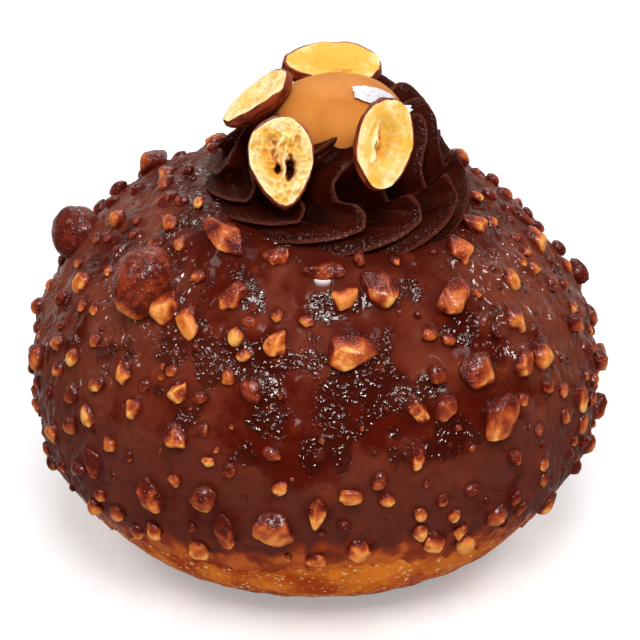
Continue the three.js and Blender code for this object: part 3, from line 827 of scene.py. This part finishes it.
def makeNuts(name, places, subdivisions, sides, sharpness, seed):
    rays, faces = ballOf(subdivisions)
    corners, cornerFaces, covers, tints = [], [], [], []
    for item, (turn, height, length, width, lean, cover, proud) in enumerate(places):
        lump = cover > 0.9 and length > 6
        flats = (lumpForm["sides"], lumpForm["sharpness"]) if lump else (sides, sharpness)
        shape, edge = chunkOf(rays, item + seed, *flats)
        side, along, out, up = nutFrame(turn, height, lean)
        tallness = (lumpForm if lump else nutForm)["tallness"]
        local = shape * np.array([width / 2, length / 2, tallness * width / 2])
        points = local[:, :1] * side + local[:, 1:2] * along + local[:, 2:] * out
        aboveEdge = riseOnCoat(height) - coatEdgeRise(np.full(1, turn))
        thin = easeStep(coatForm["thinReach"], 0, aboveEdge)[0]
        lift = proud * width - coatForm["thinning"] * thin
        if not lump:
            lift += 0.25 * climbRound(width)
            cover += 0.06 + 0.14 * abs(math.sin(turn)) - 0.75 * thin
        points += onCoat(turn, height) + lift * out
        rough = noises(points, (1, 0.42 * width, 13), (0.5, 0.2 * width, 19))
        if lump:
            rough = rough + 0.5 - 1.4 * np.abs(noise(points, 0.24 * width, 23))
        points += (nutForm["roughness"] * width * rough)[:, None] * (shape @ np.array([side, along, out]))
        above = (points - points.mean(axis=0)) @ up / (length / 2)
        if lump:
            film = cover - 0.04 + 0.16 * rough + 0.2 * noise(points, 0.5 * width, 17)
            film -= 0.6 * easeStep(-0.78, -0.95, above)
        else:
            level = local[:, 2] / width + proud  # in widths above the coat
            film = cover + 0.45 * above - 0.3 * (edge - 0.35) + 0.35 * noise(points, 0.7 * width, 17)
            film += 0.7 * easeStep(0.4 + 0.14 * above, 0.12, level + 0.08 * rough) - 0.2 * rough
        corners.append(points)
        cornerFaces.append(faces + len(rays) * item)
        covers.append(np.clip(film, 0, 1))
        tints.append(np.full(len(rays), fraction(item + seed, 5)))
    mesh = bpy.data.meshes.new(name)
    mesh.from_pydata(np.concatenate(corners) * mm, [], np.concatenate(cornerFaces).tolist())
    piece = bpy.data.objects.new(name, mesh)
    bpy.context.collection.objects.link(piece)
    addMarks(mesh, cover=np.concatenate(covers), tint=np.concatenate(tints))
    seat(piece, [nutFinish], "chocolate_coat")


nutFinish = nutMaterial()
# name, places, subdivisions, sides, sharpness and seed
makeNuts("choppedNutsLarge", framedLarge, 4, 10, 10, 0)
makeNuts("choppedNutsSmall", framedSmall, 3, 11, 9, 100)
makeNuts("nutBits", scatteredBits, 2, 11, 8, 300)
makeNuts("nutCrumbs", scatteredCrumbs, 1, 9, 7, 900)


# Piped swirl: two tiers of leaning ridges that twist back and forth on the way down

swirlForm = {
    "ridges": 13,
    "firstRidge": 8.5,
    # the lips' line from the rim to the foot: distance from the axis, height above the coat, twist
    "outline": [
        (8.6, 7.6, 16), (11.2, 9.2, 12), (13.6, 8.3, 1), (14.7, 6.5, -10.5), (15.4, 5.1, -14.2),
        (16.1, 4.1, -12), (16.9, 3.75, -7), (17.8, 3.7, -1.2), (18.6, 3.4, 1.6), (19.3, 2.8, 1.2),
        (19.9, 2.1, -5), (20.6, 1.1, -22), (20.4, -0.3, -40),
    ],
    "hook": 1.2,  # added height of the bend half way down, and most at this ridge
    "hookRidge": 1.2,
    "ridgeDepth": 3.2,
    "rimDepth": 0.5,
    "ridgeSlope": (78.0, 8.0),  # degrees above level at which a ridge stands out, at the rim and the foot
    "lipLean": 5.0,
    "lipAt": 0.84,  # phase of the lip across a ridge
    "lipWidth": (1.5, 1.15, 1.0),  # at the rim, a little below it and from half way down
    "faceShare": 0.5,  # how proud the ridge's face is against its lip
    "faceHollow": 1.7,
    "bowlHeight": 4.0,
    "floorDepth": 1.5,
    "levelling": 0.5,
    "tilt": 0.07,
    "lean": (1.4, 1.2),
    "frontReach": 0.04,  # the foot reaches out by this share of its radius
    "frontTurn": 20.0,  # most at this turn
    "columns": 468,  # 36 for each ridge
    "rows": 190,
}


def ganacheMaterial():
    material, place = startMaterial("chocolateGanache")
    lip, fold = readMarks(place, "lip", "fold")
    fine = grainOf(place, 0.35, 3, 0.6)
    colour = tinted(tone(42, 7, 2), ((56, 14, 5), grainOf(place, 6, 3), 0.3, 0.7))
    # darker in the valleys between the ridges: painted shade
    colour = mixTones(fold, colour, tone(24, 3, 1))
    # lighter colour on the lips' crests: painted highlight
    colour = tinted(colour, ((98, 46, 33), lip, 0.9, 1.0, 0, 0.6))
    bumpy = bumpOf(times(fine, rangeOf(lip, 0.2, 0.9, 0.3, 1.0)), 0.25, 0.8)
    film = times(rangeOf(fine, 0.52, 0.68), rangeOf(lip, 0.4, 0.9, 0.04, 1.0))
    return finished(material, colour, 0.4, bumpy, 0.03, (1, 0.5, 0.35), coat=(film, 0.1, 1.7))


def swirlLine(level):
    # smooth curve through the outline's points
    points = np.array(swirlForm["outline"], dtype=float)
    spans = len(points) - 1
    padded = np.vstack([2 * points[0] - points[1], points, 2 * points[-1] - points[-2]])
    steps = np.sqrt(np.linalg.norm(np.diff(padded, axis=0), axis=1))
    span = np.minimum((level * spans).astype(int), spans - 1)
    t = (level * spans - span)[:, None]
    before, first, last, after = (padded[span + k] for k in range(4))
    d0, d1, d2 = (steps[span + k][:, None] for k in range(3))
    leave = ((first - before) / d0 - (last - before) / (d0 + d1) + (last - first) / d1) * d1
    arrive = ((last - first) / d1 - (after - first) / (d1 + d2) + (after - last) / d2) * d1
    c2 = -3 * first + 3 * last - 2 * leave - arrive
    c3 = 2 * first - 2 * last + leave + arrive
    return first + leave * t + c2 * t**2 + c3 * t**3


def coatHeightAt(x, y):
    half = bunForm["width"] / 2 + coatForm["offset"]
    girth = bunForm["girthHeight"]
    top = bunForm["height"] + coatForm["offset"]
    across = np.minimum(np.hypot(x, y) / half, 1) ** (bunForm["upperSquareness"] / 2)
    return girth + (top - girth) * np.sqrt(1 - across**2) ** (2 / bunForm["upperSquareness"])


def ridgeSection(phase, pitch, lipWidth):
    lipAt, face = swirlForm["lipAt"], swirlForm["faceShare"]
    climb = face * ramp(0, lipAt, phase) ** swirlForm["faceHollow"]
    fall = face * (1 - ramp(lipAt, 1, phase) ** 2)
    gap = np.abs(phase - lipAt)
    lip = bell(np.minimum(gap, 1 - gap) * pitch, 0, lipWidth)
    return np.where(phase < lipAt, climb, fall) + (1 - face) * lip, lip


def makeSwirl():
    form = swirlForm
    ridges = form["ridges"]
    piece, turn, share = roundSkin("chocolateSwirl", form)
    bowlShare, footShare = 0.06, 0.95  # the rim, and the foot's edge
    level = ramp(bowlShare, footShare, share)
    point = swirlLine(level)
    slope = np.radians(np.interp(level, (0, 1), form["ridgeSlope"]))
    sweep = turn / (2 * np.pi) * ridges
    # columns crowd towards the lip
    phase = sweep % 1 - 0.09 * np.sin(2 * np.pi * (sweep % 1 - 0.86))
    phase, start = phase % 1, np.floor(sweep) + np.floor(phase)
    # a lip keeps its width where it runs aslant
    step = 0.002
    ahead, behind = (swirlLine(np.clip(level + shift, 0, 1)) for shift in (step, -step))
    run = np.hypot(*(ahead - behind)[:, :2].T)
    aslant = np.radians((ahead - behind)[:, 2]) * point[:, 0] / np.maximum(run, 1e-6)
    lipWidth = np.interp(level, (0, 0.2, 0.5), form["lipWidth"]) * np.minimum(np.hypot(1, aslant), 5)
    proud, lip = ridgeSection(phase, 2 * np.pi * point[:, 0] / ridges, lipWidth)
    fullness = form["rimDepth"] + (1 - form["rimDepth"]) * np.sin(np.pi * level)
    depth = form["ridgeDepth"] * fullness * (1 + 0.1 * np.sin(2.4 * start + 1))
    shift = depth * (proud - 1)
    radius = point[:, 0] + shift * np.cos(slope)
    height = point[:, 1] + shift * np.sin(slope)
    hooked = (0.5 + 0.5 * np.cos(2 * np.pi * (start - form["hookRidge"]) / ridges)) ** 4
    bend = bell(level, 0.56, 0.065) - 0.6 * bell(level, 0.43, 0.06)
    height = height + form["hook"] * hooked * bend * proud
    bowl, foot = ramp(0, bowlShare, share), ramp(1, footShare, share)
    radius = radius * np.minimum(bowl, foot)
    middle, floor = form["bowlHeight"], -form["floorDepth"]
    height = np.where(share < bowlShare, middle + (height - middle) * bowl, height)
    height = np.where(share > footShare, floor + (height - floor) * foot, height)
    angle = form["firstRidge"] + 360 * (start + phase) / ridges
    angle = np.radians(angle + point[:, 2] + form["lipLean"] * proud)
    lifted = ramp(0, max(row[1] for row in form["outline"]), height)
    towardsFront = np.maximum(0, np.cos(angle - math.radians(form["frontTurn"])))
    radius *= 1 + form["frontReach"] * (1 - lifted) * towardsFront**2
    x = swirlCentre[0] + form["lean"][0] * lifted + radius * np.sin(angle)
    y = swirlCentre[1] + form["lean"][1] * lifted - radius * np.cos(angle)
    levelled = form["levelling"] * lifted
    ground = coatHeightAt(x, y) * (1 - levelled) + coatHeightAt(*swirlCentre) * levelled
    points = pointsOf(x, y, ground + height + form["tilt"] * lifted * (y - swirlCentre[1]))
    rough = 0.1 * noise(points, 0.9, 3) * lip + 0.12 * noise(points, 4, 8)
    points += rough[:, None] * ringPoints(angle, np.cos(slope), np.sin(slope))
    writeCorners(piece.data, points * mm)
    addMarks(piece.data, lip=lip, fold=easeStep(0.4, 0.03, proud))
    seat(piece, [ganacheMaterial()], "chocolate_swirl")


makeSwirl()


# Caramel dome

domeForm = {
    "width": 21.4,
    "rimHeight": 69.6,
    "top": 77.0,
    "bottom": 66.6,
    "roundness": 2.3,
    "rimShare": 0.75,
    "columns": 160,
    "rows": 90,
}


def caramelMaterial():
    material, place = startMaterial("softCaramel")
    broad = grainOf(place, 5, 3)
    colour = tinted(
        tone(194, 115, 45),
        ((207, 132, 59), broad, 0.3, 0.7),
        ((236, 178, 110), grainOf(place, 0.5), 0.74, 0.8, 0, 0.5),
    )
    rough = rangeOf(broad, 0.3, 0.7, 0.34, 0.46)
    light = (0.25, (1.0, 0.5, 0.2), 1.5 * mm)
    return finished(material, colour, rough, bumpOf(broad, 0.3, 0.3), 0.1, (1, 0.8, 0.5), light=light)


def makeDome():
    piece, turn, share = roundSkin("caramelDome", domeForm)
    rimShare, rimHeight = domeForm["rimShare"], domeForm["rimHeight"]
    angle = np.pi / 2 * (1 - ramp(0, rimShare, share))
    power = 2 / domeForm["roundness"]
    radius = domeForm["width"] / 2 * np.maximum(np.cos(angle), 0) ** power
    height = rimHeight + (domeForm["top"] - rimHeight) * np.sin(angle) ** power
    below = ramp(rimShare, 1, share)
    radius *= np.where(below > 0, np.cos(below * np.pi / 2), 1)
    height -= (rimHeight - domeForm["bottom"]) * np.sin(below * np.pi / 2)
    points = ringPoints(turn, radius, height)
    points[:, :2] += swirlCentre
    points[:, 2] += noises(points, (0.18, 6, 4), (0.05, 2, 6))
    writeCorners(piece.data, points * mm)
    seat(piece, [caramelMaterial()], "caramel_dome")


makeDome()


# Hazelnut halves: +Z out of the cut face, +Y towards the blunt end. Size is width, length and depth. A pit
# or strand is across, along, half width, half length (shares of the half face), lean and depth; amber is
# where the face is deepest gold

nutHalves = [
    {
        "name": "hazelnutHalfBack", "node": "hazelnut_half_back",
        "at": (2.2, 8.0, 76.2), "face": (0.1, -0.27, 0.955), "along": (1, 0.143, -0.064),
        "size": (10.4, 16.3, 4.8), "taper": 0.2, "hollow": 0.7, "rough": 0.16, "crumbly": 0.15, "pale": 0.12,
        "amber": (0.05, 0.0, 0.45, 0.5),
        "pits": [(0.24, 0.08, 0.16, 0.3, -8, 0.9), (0.4, 0.24, 0.05, 0.2, -28, 1.6)],
        "strands": [(0.3, 0.1, 0.07, 0.22, -14, 0.7)],
    },
    {
        "name": "hazelnutHalfLeft", "node": "hazelnut_half_left",
        "at": (-9.6, -3.7, 75.2), "face": (-0.56, -0.07, 0.83), "along": (0.79, 0.27, 0.55),
        "size": (9.4, 12.8, 3.4), "taper": 0.2, "hollow": 0.6, "rough": 0.26, "crumbly": 0.35, "pale": 0.6,
        "amber": (0.1, -0.45, 0.25, 0.25),
        "pits": [(-0.12, 0.12, 0.08, 0.22, 14, 1.3), (0.1, -0.1, 0.06, 0.16, 24, 1.0)],
        "strands": [],
    },
    {
        "name": "hazelnutHalfFrontLeft", "node": "hazelnut_half_front_left",
        "at": (-5.3, -18.6, 70.8), "face": (0.06, -0.87, 0.49), "along": (-0.08, 0.48, 0.87),
        "size": (9.8, 14.2, 4.8), "taper": 0.2, "hollow": 1.2, "rough": 0.46, "crumbly": 0.8, "pale": 0.42,
        "amber": (-0.42, 0.05, 0.26, 0.34),
        "pits": [
            (-0.02, 0.16, 0.34, 0.54, -8, 1.3), (-0.2, 0.44, 0.2, 0.16, 20, 1.7),
            (-0.16, 0.12, 0.14, 0.3, 12, 1.9), (-0.17, -0.14, 0.12, 0.17, 16, 2.9),
            (0.25, -0.16, 0.17, 0.34, 6, 3.2), (0.42, 0.3, 0.1, 0.22, 24, 1.3),
        ],
        "strands": [
            (0.05, -0.12, 0.05, 0.34, 14, 3.0), (0.16, 0.1, 0.12, 0.05, 40, 1.6),
            (-0.06, 0.3, 0.05, 0.22, 30, 1.0),
        ],
    },
    {
        "name": "hazelnutHalfFrontRight", "node": "hazelnut_half_front_right",
        "at": (10, -18.4, 73.4), "face": (0.42, -0.8, 0.42), "along": (0.18, 0.52, 0.84),
        "size": (9.4, 14.2, 5.0), "taper": 0.05, "hollow": 1.3, "rough": 0.16, "crumbly": 0.15, "pale": 0.34,
        "amber": (-0.12, 0.05, 0.24, 0.34),
        "pits": [(-0.16, 0.0, 0.26, 0.45, -10, 1.6), (-0.1, 0.12, 0.03, 0.03, 0, 2.6)],
        "strands": [
            (-0.46, 0.06, 0.08, 0.3, 16, 1.4), (-0.34, 0.02, 0.05, 0.16, -34, 1.4),
            (-0.4, -0.3, 0.12, 0.2, 4, 1.2),
        ],
    },
]
nutHalfForm = {
    "girthDrop": 0.5,
    "rimShare": 0.95,
    "hollowShare": 0.62,
    "skinWidth": 0.045,
    "skinTear": 0.05,  # how far the skin is torn away from the rim in places
    "deepest": 3.2,
    "columns": 170,
    "rows": 140,
}


def kernelMaterial():
    material, place = startMaterial("nutKernel")
    amber, deep, raised = readMarks(place, "amber", "deep", "raised")
    broad = grainOf(place, 2.2, 4, 0.6)
    fine = grainOf(place, 0.5, 3)
    colour = tinted(
        tone(234, 180, 70),
        ((246, 222, 164), shifted(raised, broad, -0.15, 0.15), 0.15, 0.9),
        ((236, 166, 50), shifted(amber, broad, -0.2, 0.25), 0.2, 1.0, 0, 0.85),
        ((196, 132, 52), fine, 0.62, 0.76, 0, 0.45),
        # browner, then near black, the deeper a pit or hole sinks: painted shade
        ((192, 106, 28), deep, 0.3, 0.6, 0, 0.92),
        ((54, 14, 4), deep, 0.6, 0.8),
    )
    rough = rangeOf(broad, 0.3, 0.7, 0.42, 0.6)
    light = (0.25, (1.0, 0.6, 0.25), 1.0 * mm)
    return finished(material, colour, rough, bumpOf(fine, 0.2, 0.6), 0.25, light=light)


def nutSkinMaterial():
    material, place = startMaterial("nutSkin")
    # the half's own millimetres, so that the streaks run along it
    grain = addNode(place, "ShaderNodeAttribute", {}, attribute_name="grain")["Vector"]
    streak = {"Vector": stretchOf(grain, (1, 0.16, 1)), "Scale": 1.1, "Detail": 4}
    mottle = {"Vector": grain, "Scale": 0.45, "Detail": 3}
    streak, mottle = (addNode(place, "ShaderNodeTexNoise", inputs)["Fac"] for inputs in (streak, mottle))
    colour = tinted(
        tone(92, 18, 5),
        ((150, 54, 14), streak, 0.35, 0.65),
        ((186, 84, 26), mottle, 0.56, 0.72, 0, 0.7),
    )
    return finished(material, colour, rangeOf(streak, 0.3, 0.7, 0.3, 0.5), bumpOf(streak, 0.3, 0.6))


def spotShare(across, along, spot):
    # 1 in the middle of a pit or strand, and 0 outside it
    u, v, halfWidth, halfLength, lean, _ = spot
    lean = math.radians(lean)
    du, dv = across - u, along - v
    sideways = (du * math.cos(lean) - dv * math.sin(lean)) / halfWidth
    lengthways = (du * math.sin(lean) + dv * math.cos(lean)) / halfLength
    return np.exp(-((sideways**2 + lengthways**2) ** 1.6))


def faceRelief(nut, across, along, local):
    middle = np.hypot(across, along) / nutHalfForm["hollowShare"]
    relief = -nut["hollow"] * easeStep(1.15, 0.4, middle)
    wobble = 0.07 * noise(local, 1.2, 5)
    for spot in nut["pits"]:
        relief = np.minimum(relief, -spot[5] * spotShare(across + wobble, along, spot))
    torn = np.zeros_like(relief)
    for spot in nut["strands"]:
        strand = spotShare(across + wobble, along, spot)
        relief += spot[5] * strand
        torn = np.maximum(torn, strand)
    relief = np.minimum(relief, 0.3)
    flakes = nut["crumbly"] * (1 - 2.4 * np.abs(noise(local, 1.1, 15)))
    crumb = noise(local, 2.0, 9) + flakes + 0.4 * noise(local, 0.45, 27)
    fibres = noise(local * np.array([1, 0.25, 1]), 0.45, 47)
    patches = noises(local, (0.34, 2.8, 51), (0.2, 0.9, 53))
    pale = nut["pale"] + patches + 0.12 * fibres + 0.3 * flakes + 0.8 * torn
    return relief + nut["rough"] * crumb, pale


def makeNutHalf(nut, kernel, skin):
    form = nutHalfForm
    piece, turn, share = roundSkin(nut["name"], form)
    width, length, depth = nut["size"]
    drop, rimShare, skinWidth = form["girthDrop"], form["rimShare"], form["skinWidth"]
    middle = np.array(nut["at"])
    ring = pointsOf(np.sin(turn), np.cos(turn), np.full(len(turn), middle[0]))
    broken = 1 + 0.045 * noise(ring, 0.7, 33) + 0.02 * noise(ring, 0.22, 35)
    x = width / 2 * np.sin(turn) * (1 - nut["taper"] * np.cos(turn)) * broken
    y = -length / 2 * np.cos(turn) * broken
    faceShare = 0.62  # the cut face ends, and the skin starts
    onFace = share <= faceShare
    f = ramp(0, faceShare, share)
    angle = np.pi / 2 * ramp(faceShare, 1, share)
    girth, inward = easeStep(0.0, 0.25, angle), np.cos(angle)
    scale = np.where(onFace, rimShare * f, rimShare * (1 - girth) * inward + girth * inward)
    below = -drop * easeStep(0, 0.2, angle) - (depth - drop) * np.sin(angle)
    local = pointsOf(x * scale, y * scale, np.where(onFace, 0, below))
    across, along = f * np.sin(turn), -f * np.cos(turn)
    relief, raised = faceRelief(nut, across, along, local)
    relief = relief * easeStep(1 - skinWidth, 1 - 3 * skinWidth, f)
    rim = easeStep(0.7, 1.0, f + 0.3 * noise(local, 3.2, 57))
    wave = 0.16 * noise(local * np.array([1, 1, 0]), 2.4, 3)
    local[:, 2] += np.where(onFace, relief, 0) + wave * easeStep(0.5, 0, angle)
    out = unit(np.array(nut["face"]))
    right = unit(np.cross(nut["along"], out))
    points = local[:, :1] * right + local[:, 1:2] * np.cross(out, right) + local[:, 2:] * out + middle
    wrinkles = 0.1 * noise(local * np.array([1, 0.25, 1]), 0.9, 5) * easeStep(0.1, 0.6, angle)
    points += wrinkles[:, None] * (points - middle) / width * 2
    mesh = piece.data
    writeCorners(mesh, points * mm)
    u, v, halfWidth, halfLength = nut["amber"]
    amber = np.exp(-(((across - u) / halfWidth) ** 2) - ((along - v) / halfLength) ** 2)
    deep = ramp(0, -form["deepest"], relief)
    addMarks(mesh, amber=amber, raised=np.clip(raised + 0.35 * rim, 0, 1), deep=deep)
    grain = mesh.attributes.new("grain", "FLOAT_VECTOR", "POINT")
    grain.data.foreach_set("vector", np.ascontiguousarray(local, dtype=np.float32).ravel())
    torn = form["skinTear"] * easeStep(-0.25, 0.5, noise(ring, 0.9, 61))
    skinned = share > faceShare * (1 - skinWidth) + torn
    for polygon in mesh.polygons:
        polygon.material_index = int(skinned[list(polygon.vertices)].any())
    seat(piece, [kernel, skin], nut["node"])


kernelFinish, skinFinish = kernelMaterial(), nutSkinMaterial()
for nut in nutHalves:
    makeNutHalf(nut, kernelFinish, skinFinish)


# Silver leaf: a crumpled, ragged flake over the caramel

leafForm = {
    "start": (5.3, -6.8),
    "end": (14.0, -5.6),
    "width": 4.2,
    "thickness": 0.12,
    "lift": 0.55,
    "rimLevel": 73.2,
    "crumple": 0.08,
    "ragged": 0.12,
    "columns": 90,
    "rows": 40,
}


def silverMaterial():
    material, place = startMaterial("silverLeaf")
    crease = grainOf(place, 0.9, 4, 0.6)
    # greyer where the creases sink: painted shade in the creases
    colour = tinted(tone(214, 210, 220), ((252, 251, 253), crease, 0.34, 0.5))
    rough = rangeOf(crease, 0.3, 0.7, 0.5, 0.32)
    return finished(material, colour, rough, bumpOf(crease, 0.15, 0.5), metal=0.45)


def makeLeaf():
    piece, flat = gridOf("silverLeaf", leafForm)
    along, across = (flat[:, 0] + 1) / 2, flat[:, 1] / 2
    width = leafForm["width"] * (0.45 + 0.55 * np.sin(np.pi * (0.12 + 0.8 * along)))
    edge = pointsOf(8 * along, 3 * np.sign(across), 0 * along)
    ragged = leafForm["ragged"] * noises(edge, (1, 1.1, 3), (0.7, 0.4, 6))
    width = width * (1 + ragged * np.abs(2 * across) ** 2)
    ends = pointsOf(3 * np.sign(along - 0.5), 6 * across, 0 * along)
    reach = along + 0.06 * (2 * along - 1) ** 3 * noise(ends, 1.6, 2)
    x, y = (between(span, reach) for span in zip(leafForm["start"], leafForm["end"]))
    y = y + across * width
    out = np.minimum(np.hypot(x - swirlCentre[0], y - swirlCentre[1]) / (domeForm["width"] / 2), 1)
    level = (1 - out ** domeForm["roundness"]) ** (1 / domeForm["roundness"])
    dome = between((domeForm["rimHeight"], domeForm["top"]), level)
    points = pointsOf(x, y, np.maximum(dome, leafForm["rimLevel"]) + leafForm["lift"])
    folds = 1 - 2 * np.abs(noise(points, 2.6, 4))
    points[:, 2] += leafForm["crumple"] * (folds + 0.6 * noise(points, 1.1, 8))
    writeCorners(piece.data, points * mm)
    thicken = piece.modifiers.new("thickness", "SOLIDIFY")
    thicken.thickness = leafForm["thickness"] * mm
    thicken.offset = -1
    bpy.ops.object.modifier_apply(modifier=thicken.name)
    seat(piece, [silverMaterial()], "silver_leaf")


makeLeaf()
